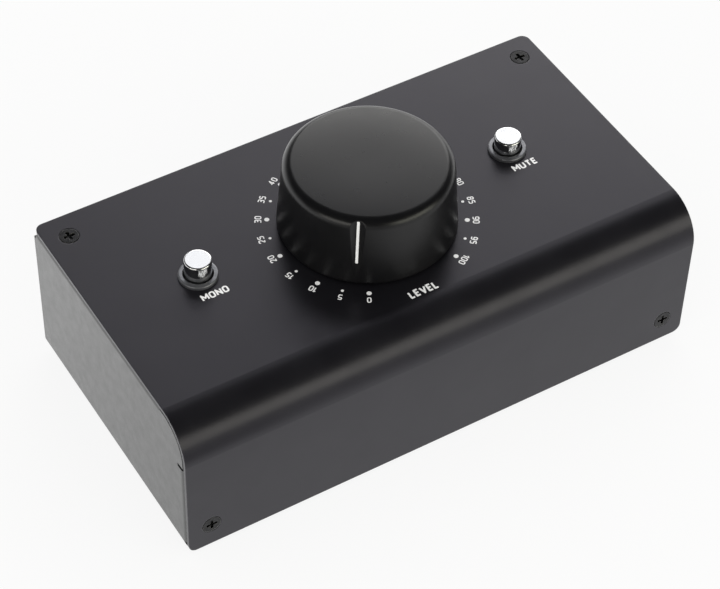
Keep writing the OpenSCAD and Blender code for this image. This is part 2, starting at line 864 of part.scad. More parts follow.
module knob_hub() {
    color([0.78, 0.63, 0.3])
        translate([0, pot_y, hub_low_z])
            linear_extrude(hub_l)
                difference() {
                    circle(hub_r);
                    shaft_profile(run_fit);
                }
}

// ---------- Potentiometer ----------

module pot_shaft() {
    color([0.72, 0.72, 0.73])
        translate([0, pot_y, 0]) {
            translate([0, 0, shaft_low_z])
                cylinder(r = shaft_r, h = flat_low_z - shaft_low_z);
            translate([0, 0, flat_low_z])
                linear_extrude(shaft_top_z - flat_low_z)
                    shaft_profile(0);
        }
}

// Height of the middle of a gang's track wafer
function wafer_z(gang) = pot_low_z + pot_wall + gang_pitch * (gang + 0.25);

module pot_wipers() {
    color([0.75, 0.6, 0.3])
        for (g = [0 : gangs - 1])
            translate([0, pot_y, wafer_z(g) + gang_pitch / 2 - wiper_t / 2])
                difference() {
                    union() {
                        cylinder(r = shaft_r + 1.2, h = wiper_t);
                        translate([0, -1.2, 0])
                            cube([wiper_r, 2.4, wiper_t]);
                    }
                    translate([0, 0, -through])
                        cylinder(r = shaft_r, h = wiper_t + 2 * through);
                }
}

module pot_case() {
    color([0.25, 0.27, 0.28])
        difference() {
            translate([-pot_w / 2, pot_y - pot_w / 2, pot_low_z])
                cube([pot_w, pot_w, pot_h]);
            translate([-pot_w / 2 + pot_wall, pot_y - pot_w / 2 + pot_wall, pot_low_z + pot_wall])
                cube([pot_w - 2 * pot_wall, pot_w - 2 * pot_wall, pot_h - 2 * pot_wall]);
            translate([0, pot_y, ceiling_z - pot_wall - through])
                cylinder(r = shaft_r + run_fit, h = pot_wall + 2 * through);
        }
}

module pot_wafers() {
    width = pot_w - 2 * pot_wall;
    color([0.45, 0.3, 0.15])
        for (g = [0 : gangs - 1])
            translate([0, pot_y, wafer_z(g) - wafer_t / 2])
                linear_extrude(wafer_t)
                    difference() {
                        square(width, center = true);
                        circle(shaft_r + 0.4);
                    }
}

module solder_pins(places, r, top, board_bottom) {
    for (p = places)
        translate([p[0], p[1], board_bottom - pin_tail])
            cylinder(r = r, h = top - board_bottom + pin_tail);
}

module pot_pins() {
    color([0.8, 0.8, 0.78])
        solder_pins(pot_pin_places, pin_r, pot_low_z, control_low_z);
}

module pot_bush() {
    color([0.75, 0.62, 0.35])
        translate([0, pot_y, ceiling_z])
            difference() {
                cylinder(r = bush_r, h = bush_top_z - ceiling_z);
                translate([0, 0, -through])
                    cylinder(r = shaft_r + run_fit, h = sheet_t + bush_h + 2 * through);
            }
}

module pot_washer() {
    color([0.7, 0.7, 0.72])
        translate([0, pot_y, top_z])
            difference() {
                cylinder(r = washer_r, h = washer_t);
                translate([0, 0, -through])
                    cylinder(r = bush_r + loose_fit, h = washer_t + 2 * through);
            }
}

module pot_nut() {
    color([0.7, 0.7, 0.72])
        translate([0, pot_y, top_z + washer_t])
            difference() {
                cylinder(r = pot_nut_af / 2 / cos(30), h = pot_nut_t, $fn = 6);
                translate([0, 0, -through])
                    cylinder(r = bush_r + run_fit, h = pot_nut_t + 2 * through);
            }
}

// ---------- Push buttons ----------

module button_cap(drop) {
    cap_top_z = top_z + cap_top_h - drop;
    edge_x = cap_r - cap_edge_r;
    color([0.86, 0.86, 0.88])
        difference() {
            translate([0, 0, cap_top_z - cap_l])
                rotate_extrude() {
                    square([cap_r, cap_l - cap_edge_r]);
                    square([edge_x, cap_l]);
                    translate([edge_x, cap_l - cap_edge_r])
                        quarter_disc(cap_edge_r);
                }
            translate([0, 0, cap_top_z - cap_l - through])
                linear_extrude(plug_l + through + run_fit)
                    square(stem_w + 2 * run_fit, center = true);
        }
}

module button_bezel() {
    round_r = 0.4;
    color([0.28, 0.29, 0.31])
        difference() {
            union() {
                translate([0, 0, top_z])
                    rotate_extrude() {
                        square([bezel_r, bezel_h - round_r]);
                        square([bezel_r - round_r, bezel_h]);
                        translate([bezel_r - round_r, bezel_h - round_r])
                            quarter_disc(round_r);
                    }
                translate([0, 0, ceiling_z - bezel_neck_l])
                    cylinder(r = bezel_neck_r, h = bezel_neck_l + sheet_t);
            }
            translate([0, 0, ceiling_z - bezel_neck_l - through])
                cylinder(r = bezel_bore_r, h = bezel_neck_l + sheet_t + bezel_h + 2 * through);
        }
}

module button_plunger(drop) {
    cap_low_z = top_z + cap_top_h - cap_l;
    color([0.9, 0.9, 0.86])
        translate([0, 0, -drop]) {
            translate([0, 0, collar_low_z])
                linear_extrude(collar_top_z - collar_low_z)
                    square(collar_w, center = true);
            translate([0, 0, collar_top_z])
                linear_extrude(cap_low_z + plug_l - collar_top_z)
                    square(stem_w, center = true);
        }
}

module button_spring(drop) {
    color([0.75, 0.76, 0.78])
        coil_spring(control_top_z + switch_wall, collar_low_z - drop);
}

module switch_case() {
    color([0.12, 0.12, 0.13])
        difference() {
            translate([0, 0, control_top_z])
                linear_extrude(switch_h)
                    square(switch_w, center = true);
            translate([0, 0, control_top_z + switch_wall])
                linear_extrude(switch_h - 2 * switch_wall)
                    square(switch_w - 2 * switch_wall, center = true);
            translate([0, 0, switch_top_z - switch_wall - through])
                linear_extrude(switch_wall + 2 * through)
                    square(stem_w + 4 * run_fit, center = true);
        }
}

module switch_pins() {
    color([0.8, 0.8, 0.78])
        solder_pins(switch_pin_places, pin_r, control_top_z, control_low_z);
}

module mono_place() {
    translate([-mono_x, mono_y, 0])
        children();
}

module mute_place() {
    translate([mute_x, mute_y, 0])
        children();
}

module mono_cap() { mono_place() button_cap(mono_drop); }
module mono_bezel() { mono_place() button_bezel(); }
module mono_plunger() { mono_place() button_plunger(mono_drop); }
module mono_spring() { mono_place() button_spring(mono_drop); }
module mono_switch() { mono_place() switch_case(); }
module mono_pins() { mono_place() switch_pins(); }
module mute_cap() { mute_place() button_cap(mute_drop); }
module mute_bezel() { mute_place() button_bezel(); }
module mute_plunger() { mute_place() button_plunger(mute_drop); }
module mute_spring() { mute_place() button_spring(mute_drop); }
module mute_switch() { mute_place() switch_case(); }
module mute_pins() { mute_place() switch_pins(); }

// ---------- Boards ----------

module pin_holes(places, low) {
    for (p = places)
        translate([p[0], p[1], low - through])
            cylinder(r = pin_r + run_fit, h = board_t + 2 * through);
}

module screw_holes(places, low) {
    for (p = places)
        translate([p[0], p[1], low - through])
            cylinder(r = thread_r + loose_fit, h = board_t + 2 * through);
}

module control_board() {
    depth = control_board_rear_y - control_board_front_y;
    color([0.05, 0.3, 0.15])
        difference() {
            translate([0, control_board_front_y + depth / 2, control_low_z])
                linear_extrude(board_t)
                    rounded_rect(control_board_w, depth, 1);
            pin_holes(pot_pin_places, control_low_z);
            mono_place()
                pin_holes(switch_pin_places, control_low_z);
            mute_place()
                pin_holes(switch_pin_places, control_low_z);
            screw_holes(control_standoff_places, control_low_z);
            pin_holes(resistor_leg_places, control_low_z);
        }
}

// Six-sided spacer with a threaded bore
module hex_spacer(height) {
    difference() {
        cylinder(r = standoff_af / 2 / cos(30), h = height, $fn = 6);
        translate([0, 0, -through])
            cylinder(r = thread_r + loose_fit, h = height + 2 * through);
    }
}

module control_standoffs() {
    color([0.78, 0.66, 0.38])
        for (p = control_standoff_places)
            translate([p[0], p[1], control_top_z])
                hex_spacer(ceiling_z - control_top_z);
}

module control_board_screws() {
    color([0.7, 0.7, 0.72])
        for (p = control_standoff_places)
            translate([p[0], p[1], control_low_z])
                rotate([180, 0, 0])
                    pan_screw(board_t + standoff_screw_l);
}

// Resistors have their legs bent down into the control board
module resistors() {
    for (p = resistor_places)
        translate([p[0], p[1], resistor_axis_z])
            rotate([0, 90, 0]) {
                color([0.35, 0.55, 0.75])
                    cylinder(r = resistor_r, h = resistor_l, center = true);
                color([0.75, 0.75, 0.75])
                    cylinder(r = lead_r, h = resistor_pitch, center = true);
            }
    color([0.75, 0.75, 0.75])
        solder_pins(resistor_leg_places, leg_r, resistor_axis_z + leg_r, control_low_z);
}

module connector_board() {
    depth = connector_board_rear_y - connector_board_front_y;
    color([0.05, 0.3, 0.15])
        difference() {
            translate([0, connector_board_front_y + depth / 2, board_low_z])
                linear_extrude(board_t)
                    rounded_rect(connector_board_w, depth, 1);
            pin_holes(connector_pin_places, board_low_z);
            screw_holes(base_standoff_places, board_low_z);
        }
}

module base_standoffs() {
    color([0.72, 0.72, 0.74])
        for (p = base_standoff_places)
            translate([p[0], p[1], 0])
                difference() {
                    union() {
                        translate([0, 0, floor_z])
                            cylinder(r = standoff_af / 2 / cos(30), h = base_standoff_h, $fn = 6);
                        translate([0, 0, base_z])
                            cylinder(r = standoff_neck_r, h = sheet_t);
                    }
                    translate([0, 0, base_z - through])
                        cylinder(r = thread_r + loose_fit, h = sheet_t + base_standoff_h + 2 * through);
                }
}

module connector_board_screws() {
    color([0.7, 0.7, 0.72])
        for (p = base_standoff_places)
            translate([p[0], p[1], board_top_z])
                pan_screw(board_t + base_standoff_h);
}

module header_block(y, low, slot_low) {
    translate([-ribbon_x, y, 0])
        difference() {
            translate([-header_w / 2, -header_d / 2, low])
                cube([header_w, header_d, header_h]);
            translate([-ribbon_w / 2 - loose_fit, -ribbon_t / 2 - loose_fit, slot_low])
                cube([ribbon_w + 2 * loose_fit, ribbon_t + 2 * loose_fit, ribbon_grip + through]);
        }
}

module upper_header() {
    color([0.92, 0.91, 0.86])
        header_block(upper_header_y, upper_header_z, upper_header_z - through);
}

module lower_header() {
    color([0.92, 0.91, 0.86])
        header_block(lower_header_y, board_top_z, lower_header_z - ribbon_grip);
}

// Quarter of the ribbon's bend, in the (y, z) plane, about its own centre
module ribbon_quarter() {
    difference() {
        quarter_disc(ribbon_bend_r + ribbon_t / 2);
        circle(ribbon_bend_r - ribbon_t / 2);
    }
}

module ribbon_cable() {
    first_z = upper_header_z - ribbon_straight;
    last_z = lower_header_z + ribbon_straight;
    middle_z = first_z - ribbon_bend_r;
    color([0.55, 0.56, 0.58])
        translate([-ribbon_x, 0, 0])
            along_x(ribbon_w) {
                translate([upper_header_y - ribbon_t / 2, first_z])
                    square([ribbon_t, ribbon_straight + ribbon_grip]);
                translate([upper_header_y + ribbon_bend_r, first_z])
                    rotate(180)
                        ribbon_quarter();
                translate([upper_header_y + ribbon_bend_r, middle_z - ribbon_t / 2])
                    square([lower_header_y - upper_header_y - 2 * ribbon_bend_r, ribbon_t]);
                translate([lower_header_y - ribbon_bend_r, last_z])
                    ribbon_quarter();
                translate([lower_header_y - ribbon_t / 2, last_z - ribbon_straight - ribbon_grip])
                    square([ribbon_t, ribbon_straight + ribbon_grip]);
            }
}

// ---------- Rear connectors, drawn in the frame of on_rear() ----------

// Block behind the panel with a round nose through it
module connector_body(depth) {
    union() {
        translate([0, 0, -sheet_t - depth])
            linear_extrude(depth)
                rounded_rect(housing_w, housing_h, 1.5);
        translate([0, 0, -sheet_t - run_fit])
            cylinder(r = nose_r, h = sheet_t + run_fit + nose_proud);
    }
}

module housing_screw_holes() {
    for (s = [-1, 1])
        translate([-s * screw_dx, s * screw_dz, -sheet_t - connector_screw_l])
            cylinder(r = thread_r + run_fit, h = connector_screw_l + through);
}

module combo_housing() {
    color([0.1, 0.1, 0.105])
        difference() {
            connector_body(combo_depth);
            translate([0, 0, nose_proud - combo_cavity])
                cylinder(r = sleeve_r, h = combo_cavity + through);
            translate([0, 0, -sheet_t - combo_depth - through])
                cylinder(r = jack_r + 2 * loose_fit, h = combo_depth);
            housing_screw_holes();
        }
}

module combo_insert() {
    floor = nose_proud - combo_cavity;
    top = nose_proud - insert_recess;
    color([0.16, 0.16, 0.17])
        difference() {
            union() {
                translate([0, 0, floor])
                    cylinder(r = sleeve_r - run_fit, h = insert_base_t);
                translate([0, 0, floor])
                    cylinder(r = insert_r, h = top - floor);
            }
            translate([0, 0, floor - through])
                cylinder(r = jack_r, h = top - floor + 2 * through);
            for (a = contact_angles)
                rotate(a)
                    translate([contact_circle_r, 0, floor + insert_base_t])
                        cylinder(r = socket_r + run_fit, h = combo_cavity);
            for (a = leaf_angles)
                rotate(a)
                    translate([jack_r - leaf_t, -leaf_w / 2 - loose_fit, floor - through])
                        cube([leaf_gap + 3 * leaf_t, leaf_w + 2 * loose_fit, leaf_l + leaf_t + through]);
        }
}

module combo_contacts() {
    floor = nose_proud - combo_cavity;
    sleeve_l = combo_cavity - insert_recess - insert_base_t - socket_recess;
    color([0.83, 0.7, 0.4]) {
        for (a = contact_angles)
            rotate(a)
                translate([contact_circle_r, 0, floor + insert_base_t])
                    difference() {
                        cylinder(r = socket_r, h = sleeve_l);
                        translate([0, 0, socket_r - contact_r])
                            cylinder(r = contact_r + run_fit, h = sleeve_l);
                    }
        for (a = leaf_angles)
            rotate(a)
                translate([jack_r + leaf_gap, -leaf_w / 2, floor])
                    cube([leaf_t, leaf_w, leaf_l]);
    }
}

module output_housing() {
    key_w = 2.4;
    color([0.1, 0.1, 0.105])
        difference() {
            connector_body(output_depth);
            translate([0, 0, nose_proud - output_cavity])
                cylinder(r = cup_r, h = output_cavity + through);
            translate([-key_w / 2, 0, nose_proud - cup_depth])
                cube([key_w, cup_r + 1.2, cup_depth + through]);
            housing_screw_holes();
        }
}

module output_insulator() {
    color([0.16, 0.16, 0.17])
        translate([0, 0, nose_proud - output_cavity])
            difference() {
                cylinder(r = cup_r - run_fit, h = insulator_t);
                for (a = contact_angles)
                    rotate(a)
                        translate([contact_circle_r, 0, -through])
                            cylinder(r = contact_r, h = insulator_t + 2 * through);
            }
}

module output_pins() {
    tip = 0.6;
    low = nose_proud - output_cavity;
    length = insulator_t + contact_l;
    color([0.83, 0.7, 0.4])
        for (a = contact_angles)
            rotate(a)
                translate([contact_circle_r, 0, low]) {
                    cylinder(r = contact_r, h = length - tip);
                    translate([0, 0, length - tip])
                        cylinder(r1 = contact_r, r2 = contact_r - 0.5, h = tip);
                }
}

module at_combo_left() { on_rear(connector_outer_x, connector_z) children(); }
module at_combo_right() { on_rear(connector_inner_x, connector_z) children(); }
module at_output_left() { on_rear(-connector_inner_x, connector_z) children(); }
module at_output_right() { on_rear(-connector_outer_x, connector_z) children(); }

module combo_left_housing() { at_combo_left() combo_housing(); }
module combo_left_insert() { at_combo_left() combo_insert(); }
module combo_left_contacts() { at_combo_left() combo_contacts(); }
module combo_right_housing() { at_combo_right() combo_housing(); }
module combo_right_insert() { at_combo_right() combo_insert(); }
module combo_right_contacts() { at_combo_right() combo_contacts(); }
module output_left_housing() { at_output_left() output_housing(); }
module output_left_insulator() { at_output_left() output_insulator(); }
module output_left_pins() { at_output_left() output_pins(); }
module output_right_housing() { at_output_right() output_housing(); }
module output_right_insulator() { at_output_right() output_insulator(); }
module output_right_pins() { at_output_right() output_pins(); }

module mini_jack_body() {
    height = 2 * mini_axis_h;
    color([0.1, 0.1, 0.105])
        on_rear(0, mini_z)
            difference() {
                translate([0, 0, -sheet_t - mini_depth])
                    linear_extrude(mini_depth)
                        rounded_rect(mini_w, height, 0.6);
                translate([0, 0, -sheet_t - mini_depth - through])
                    cylinder(r = mini_jack_r, h = mini_depth + 2 * through);
            }
}

module mini_jack_bush() {
    color([0.75, 0.75, 0.77])
        on_rear(0, mini_z)
            translate([0, 0, -sheet_t])
                difference() {
                    cylinder(r = mini_bush_r, h = sheet_t + mini_nut_t);
                    translate([0, 0, -through])
                        cylinder(r = mini_jack_r, h = sheet_t + mini_nut_t + 2 * through);
                }
}

module mini_jack_nut() {
    slot_w = 1.2;
    slot_depth = 0.8;
    color([0.75, 0.75, 0.77])
        on_rear(0, mini_z)
            difference() {
                cylinder(r = mini_nut_r, h = mini_nut_t - run_fit);
                translate([0, 0, -through])
                    cylinder(r = mini_bush_r + run_fit, h = mini_nut_t + 2 * through);
                translate([-mini_nut_r - through, -slot_w / 2, mini_nut_t - slot_depth])
                    cube([2 * (mini_nut_r + through), slot_w, slot_depth + through]);
            }
}

module connector_pins() {
    color([0.8, 0.8, 0.78])
        solder_pins(connector_pin_places, pin_r, board_top_z, board_low_z);
}

module connector_screws() {
    color([0.08, 0.08, 0.085])
        at_connector_screws()
            pan_screw(connector_screw_l);
}

// ---------- Output ----------

top_cover();
chassis();
cover_screws();
feet();
knob_shell();
pointer_line();
knob_hub();
pot_shaft();
pot_wipers();
pot_case();
pot_wafers();
pot_pins();
pot_bush();
pot_washer();
pot_nut();
mono_cap();
mono_bezel();
mono_plunger();
mono_spring();
mono_switch();
mono_pins();
mute_cap();
mute_bezel();
mute_plunger();
mute_spring();
mute_switch();
mute_pins();
control_board();
control_standoffs();
control_board_screws();
resistors();
connector_board();
base_standoffs();
connector_board_screws();
ribbon_cable();
upper_header();
lower_header();
combo_left_housing();
combo_left_insert();
combo_left_contacts();
combo_right_housing();
combo_right_insert();
combo_right_contacts();
output_left_housing();
output_left_insulator();
output_left_pins();
output_right_housing();
output_right_insulator();
output_right_pins();
mini_jack_body();
mini_jack_bush();
mini_jack_nut();
connector_pins();
connector_screws();
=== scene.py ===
"""Looks of the studio monitor controller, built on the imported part.

Sizes in this file are in millimetres in the part's own frame and are turned into metres where a mesh is made.
"""
import math

import bpy
from mathutils import Matrix, Vector

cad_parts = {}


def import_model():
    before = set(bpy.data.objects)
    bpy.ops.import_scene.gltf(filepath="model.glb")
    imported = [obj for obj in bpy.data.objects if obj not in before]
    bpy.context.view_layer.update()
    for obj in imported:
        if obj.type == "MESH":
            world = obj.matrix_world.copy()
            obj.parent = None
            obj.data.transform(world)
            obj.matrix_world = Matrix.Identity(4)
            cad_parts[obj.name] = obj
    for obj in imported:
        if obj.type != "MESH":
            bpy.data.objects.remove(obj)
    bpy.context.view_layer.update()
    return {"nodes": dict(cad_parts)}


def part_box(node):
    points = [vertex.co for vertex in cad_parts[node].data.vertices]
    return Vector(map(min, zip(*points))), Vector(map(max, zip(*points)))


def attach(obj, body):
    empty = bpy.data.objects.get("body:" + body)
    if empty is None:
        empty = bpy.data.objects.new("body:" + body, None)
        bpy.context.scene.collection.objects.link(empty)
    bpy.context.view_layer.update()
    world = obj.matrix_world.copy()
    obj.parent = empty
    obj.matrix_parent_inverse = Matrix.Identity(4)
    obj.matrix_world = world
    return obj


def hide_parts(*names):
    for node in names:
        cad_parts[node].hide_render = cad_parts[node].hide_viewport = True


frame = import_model()

MM = 0.001


def low(node):
    return [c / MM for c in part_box(node)[0]]


def high(node):
    return [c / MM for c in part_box(node)[1]]


# Places that the frame gives
PANEL_Z = high("top_cover")[2]
SHAFT = [(a + b) / 2 for a, b in zip(low("knob_hub"), high("knob_hub"))]
POT_X, POT_Y = 0.0, SHAFT[1]


# ---------------------------------------------------------------- materials

class Nodes:
    """A short way to write a node tree."""

    def __init__(self, tree):
        self.tree = tree
        tree.nodes.clear()

    def add(self, kind, inputs=None, **settings):
        node = self.tree.nodes.new(kind)
        for key, value in settings.items():
            setattr(node, key, value)
        for key, value in (inputs or {}).items():
            if isinstance(value, bpy.types.NodeSocket):
                self.tree.links.new(value, node.inputs[key])
            else:
                node.inputs[key].default_value = value
        return node

    def link(self, a, b):
        self.tree.links.new(a, b)

    def math(self, operation, a, b=0.0, clamp=False):
        return self.add("ShaderNodeMath", {0: a, 1: b}, operation=operation, use_clamp=clamp).outputs[0]

    def noise(self, where, size, detail=2.0, rough=0.5, squash=None):
        """Noise whose blotches are about size millimetres across."""
        if squash:
            where = self.add("ShaderNodeMapping", {"Vector": where, "Scale": squash}).outputs[0]
        node = self.add("ShaderNodeTexNoise", {"Vector": where, "Scale": 1 / (size * MM), "Detail": detail,
                                               "Roughness": rough}, noise_dimensions="3D")
        return node.outputs[0]

    def ramp(self, value, a, b, low_value=0.0, high_value=1.0):
        node = self.add("ShaderNodeMapRange", {"Value": value, "From Min": a, "From Max": b,
                                               "To Min": low_value, "To Max": high_value}, clamp=True)
        return node.outputs[0]

    def mix(self, share, a, b):
        node = self.add("ShaderNodeMix", {0: share}, data_type="RGBA")
        for key, value in ((6, a), (7, b)):
            if isinstance(value, bpy.types.NodeSocket):
                self.link(value, node.inputs[key])
            else:
                node.inputs[key].default_value = (*value, 1.0)
        return node.outputs[2]


def new_tree(name):
    material = bpy.data.materials.new(name)
    material.use_nodes = True
    return material, Nodes(material.node_tree)


COAT_ROUGH = 0.1
WEAR_AND_HIGHLIGHT_SIZE = 1.3       # blotches of the wear and painted highlight along edges
WEAR_AND_HIGHLIGHT_SMOOTHING = 0.12    # how much smoother an edge is where wear and painted highlight lie


def finish_of(name, dark, pale, rough, rough_spread, mottle=9.0, grain=0.0, grain_size=0.35, speckle=0.25,
              metal=0.0, shine=0.5, edge=0.2, wear_and_highlight_colour=None, wear_and_highlight_share=0.0, brushed=None, coat=0.0,
              tint=(1.0, 1.0, 1.0), side_rough=0.0):
    """One finish: two tones that blend in soft blotches and fine speckle, an uneven roughness, a grain that lifts
    the surface by grain millimetres, rounded edges edge millimetres wide, and along them a lighter colour that is
    partly wear and partly painted highlight. Upright faces are side_rough rougher than faces that look up."""
    material, n = new_tree(name)
    place = n.add("ShaderNodeTexCoord").outputs["Object"]
    blotch = n.noise(place, mottle, 3.0, 0.55)
    fine = n.noise(place, grain_size, 2.0, 0.6, brushed)
    share = n.math("ADD", n.ramp(blotch, 0.3, 0.7, 0.0, 1.0 - speckle), n.ramp(fine, 0.3, 0.7, 0.0, speckle), True)
    colour = n.mix(share, dark, pale)
    smear = n.noise(place, mottle * 0.45, 4.0, 0.6, brushed)
    roughness = n.ramp(smear, 0.3, 0.7, rough - rough_spread, rough + rough_spread)
    if side_rough:
        facing = n.add("ShaderNodeTexCoord").outputs["Normal"]
        upward = n.add("ShaderNodeSeparateXYZ", {0: facing}).outputs["Z"]
        roughness = n.math("ADD", roughness, n.ramp(upward, 0.25, 0.60, side_rough, 0.0))
    normal = None
    if edge:
        soft = n.add("ShaderNodeBevel", {"Radius": edge * MM}, samples=6).outputs[0]
        normal = soft
        # Edges get a lighter colour in blotches, partly wear and partly painted highlight where edges catch light,
        # and are smoother there.
        if wear_and_highlight_colour:
            flat = n.add("ShaderNodeNewGeometry").outputs["Normal"]
            turn = n.add("ShaderNodeVectorMath", {0: soft, 1: flat}, operation="DOT_PRODUCT").outputs["Value"]
            wear_and_highlight_blotch = n.noise(place, WEAR_AND_HIGHLIGHT_SIZE, 3.0, 0.65)
            wear_and_highlight_mask = n.math("MULTIPLY", n.ramp(turn, 0.99, 0.86), n.ramp(wear_and_highlight_blotch, 0.38, 0.62, 0.25, 1.0), True)
            wear_and_highlight_mask = n.math("MULTIPLY", wear_and_highlight_mask, wear_and_highlight_share, True)
            colour = n.mix(wear_and_highlight_mask, colour, wear_and_highlight_colour)
            roughness = n.math("SUBTRACT", roughness, n.math("MULTIPLY", wear_and_highlight_mask, WEAR_AND_HIGHLIGHT_SMOOTHING), True)
    if grain:
        bump_inputs = {"Height": fine, "Distance": grain * MM, "Strength": 1.0}
        if normal:
            bump_inputs["Normal"] = normal
        normal = n.add("ShaderNodeBump", bump_inputs).outputs[0]
    shader = n.add("ShaderNodeBsdfPrincipled", {"Base Color": colour, "Roughness": roughness, "Metallic": metal,
                                                "Specular IOR Level": shine, "Coat Weight": coat,
                                                "Coat Roughness": COAT_ROUGH, "Specular Tint": (*tint, 1.0)})
    if normal:
        n.link(normal, shader.inputs["Normal"])
    n.link(shader.outputs[0], n.add("ShaderNodeOutputMaterial").inputs[0])
    return material


# The lighter edge colour in each finish is partly wear and partly painted highlight.
FINISHES = {
    "cover_paint": dict(dark=(0.0056, 0.0053, 0.0068), pale=(0.0090, 0.0087, 0.0104), rough=0.31, rough_spread=0.03,
                        mottle=14, grain=0.008, grain_size=0.45, edge=0.35, wear_and_highlight_colour=(0.09, 0.09, 0.095), wear_and_highlight_share=0.8,
                        tint=(0.91, 0.885, 1.0)),
    # The chassis has the same black paint as the cover; its paler base colour here is painted light, for the sheen
    # that its sides catch.
    "chassis_paint": dict(dark=(0.018, 0.019, 0.019), pale=(0.034, 0.036, 0.036), rough=0.33, rough_spread=0.04,
                          mottle=7, grain=0.040, grain_size=0.42, speckle=0.5, edge=0.25,
                          wear_and_highlight_colour=(0.14, 0.14, 0.145), wear_and_highlight_share=0.7, shine=1.0),
    "black_screw": dict(dark=(0.010, 0.010, 0.011), pale=(0.028, 0.028, 0.030), rough=0.30, rough_spread=0.06,
                        mottle=1.2, grain=0.003, grain_size=0.15, metal=0.75, edge=0.12, wear_and_highlight_colour=(0.35, 0.34, 0.33),
                        wear_and_highlight_share=0.7),
    "foot_rubber": dict(dark=(0.012, 0.012, 0.013), pale=(0.024, 0.024, 0.025), rough=0.82, rough_spread=0.06,
                        mottle=2.5, grain=0.02, grain_size=0.3, edge=0.3, shine=0.3),
    "knob_black": dict(dark=(0.0026, 0.0026, 0.0033), pale=(0.0044, 0.0043, 0.0050), rough=0.29, rough_spread=0.02,
                       mottle=8, grain=0.0010, grain_size=0.5, edge=0, side_rough=0.09),
    "pointer_white": dict(dark=(0.84, 0.84, 0.84), pale=(0.92, 0.92, 0.92), rough=0.45, rough_spread=0.06,
                          mottle=1.5, grain=0.002, grain_size=0.2, edge=0.05),
    "brass": dict(dark=(0.55, 0.40, 0.18), pale=(0.72, 0.55, 0.27), rough=0.32, rough_spread=0.07, mottle=3,
                  grain=0.002, grain_size=0.2, metal=1.0, edge=0.1, wear_and_highlight_colour=(0.85, 0.72, 0.42), wear_and_highlight_share=0.7,
                  brushed=(1, 1, 8)),
    "steel": dict(dark=(0.45, 0.45, 0.46), pale=(0.62, 0.62, 0.63), rough=0.33, rough_spread=0.07, mottle=3,
                  grain=0.002, grain_size=0.2, metal=1.0, edge=0.1, wear_and_highlight_colour=(0.8, 0.8, 0.8), wear_and_highlight_share=0.6,
                  brushed=(1, 1, 6)),
    "pot_grey": dict(dark=(0.12, 0.125, 0.13), pale=(0.18, 0.185, 0.19), rough=0.48, rough_spread=0.06, mottle=4,
                     grain=0.006, grain_size=0.3, edge=0.2, wear_and_highlight_colour=(0.3, 0.3, 0.31), wear_and_highlight_share=0.5),
    "wafer_brown": dict(dark=(0.16, 0.085, 0.035), pale=(0.27, 0.15, 0.06), rough=0.55, rough_spread=0.08,
                        mottle=3, grain=0.008, grain_size=0.35, edge=0.1, brushed=(1, 4, 1)),
    "tin": dict(dark=(0.50, 0.50, 0.49), pale=(0.70, 0.70, 0.69), rough=0.28, rough_spread=0.08, mottle=0.8,
                grain=0.004, grain_size=0.2, metal=1.0, edge=0.05),
    "cap_chrome": dict(dark=(0.86, 0.87, 0.88), pale=(0.91, 0.92, 0.93), rough=0.15, rough_spread=0.03, mottle=2.5,
                       grain=0.0004, grain_size=0.5, metal=1.0, edge=0.12, wear_and_highlight_colour=(0.97, 0.97, 0.97), wear_and_highlight_share=0.5),
    "bezel_grey": dict(dark=(0.170, 0.173, 0.186), pale=(0.250, 0.254, 0.270), rough=0.32, rough_spread=0.06,
                       mottle=2.2, grain=0.001, grain_size=0.25, metal=0.75, edge=0.15, wear_and_highlight_colour=(0.38, 0.38, 0.40),
                       wear_and_highlight_share=0.7),
    "switch_white": dict(dark=(0.62, 0.62, 0.58), pale=(0.76, 0.76, 0.72), rough=0.45, rough_spread=0.05,
                         mottle=2, grain=0.002, grain_size=0.3, edge=0.15),
    "switch_black": dict(dark=(0.018, 0.018, 0.019), pale=(0.035, 0.035, 0.036), rough=0.45, rough_spread=0.05,
                         mottle=2, grain=0.004, grain_size=0.25, edge=0.15, wear_and_highlight_colour=(0.09, 0.09, 0.09), wear_and_highlight_share=0.5),
    "board_green": dict(dark=(0.008, 0.075, 0.030), pale=(0.016, 0.120, 0.048), rough=0.34, rough_spread=0.06,
                        mottle=5, grain=0.006, grain_size=0.5, edge=0.1, coat=0.3, wear_and_highlight_colour=(0.35, 0.33, 0.2), wear_and_highlight_share=0.6),
    "resistor_blue": dict(dark=(0.05, 0.16, 0.30), pale=(0.08, 0.24, 0.42), rough=0.36, rough_spread=0.05,
                          mottle=1.5, grain=0.003, grain_size=0.3, edge=0.1),
    "ribbon_grey": dict(dark=(0.26, 0.26, 0.27), pale=(0.38, 0.38, 0.39), rough=0.5, rough_spread=0.05, mottle=3,
                        grain=0.02, grain_size=1.27, edge=0.1, brushed=(1, 0.02, 0.02)),
    "connector_black": dict(dark=(0.012, 0.012, 0.013), pale=(0.024, 0.024, 0.025), rough=0.42, rough_spread=0.05,
                            mottle=4, grain=0.008, grain_size=0.35, edge=0.25, wear_and_highlight_colour=(0.07, 0.07, 0.07), wear_and_highlight_share=0.6),
    "insulator_black": dict(dark=(0.016, 0.016, 0.017), pale=(0.030, 0.030, 0.031), rough=0.36, rough_spread=0.05,
                            mottle=2, grain=0.004, grain_size=0.3, edge=0.2, wear_and_highlight_colour=(0.08, 0.08, 0.08), wear_and_highlight_share=0.5),
    "contact_gold": dict(dark=(0.72, 0.50, 0.20), pale=(0.88, 0.66, 0.30), rough=0.22, rough_spread=0.06,
                         mottle=1.2, grain=0.001, grain_size=0.15, metal=1.0, edge=0.08),
}
materials = {slot: finish_of(slot, **values) for slot, values in FINISHES.items()}
for node in frame["nodes"].values():
    for held in node.material_slots:
        held.material = materials[held.material.name.split(".")[0]]


# ------------------------------------------------------------ making meshes

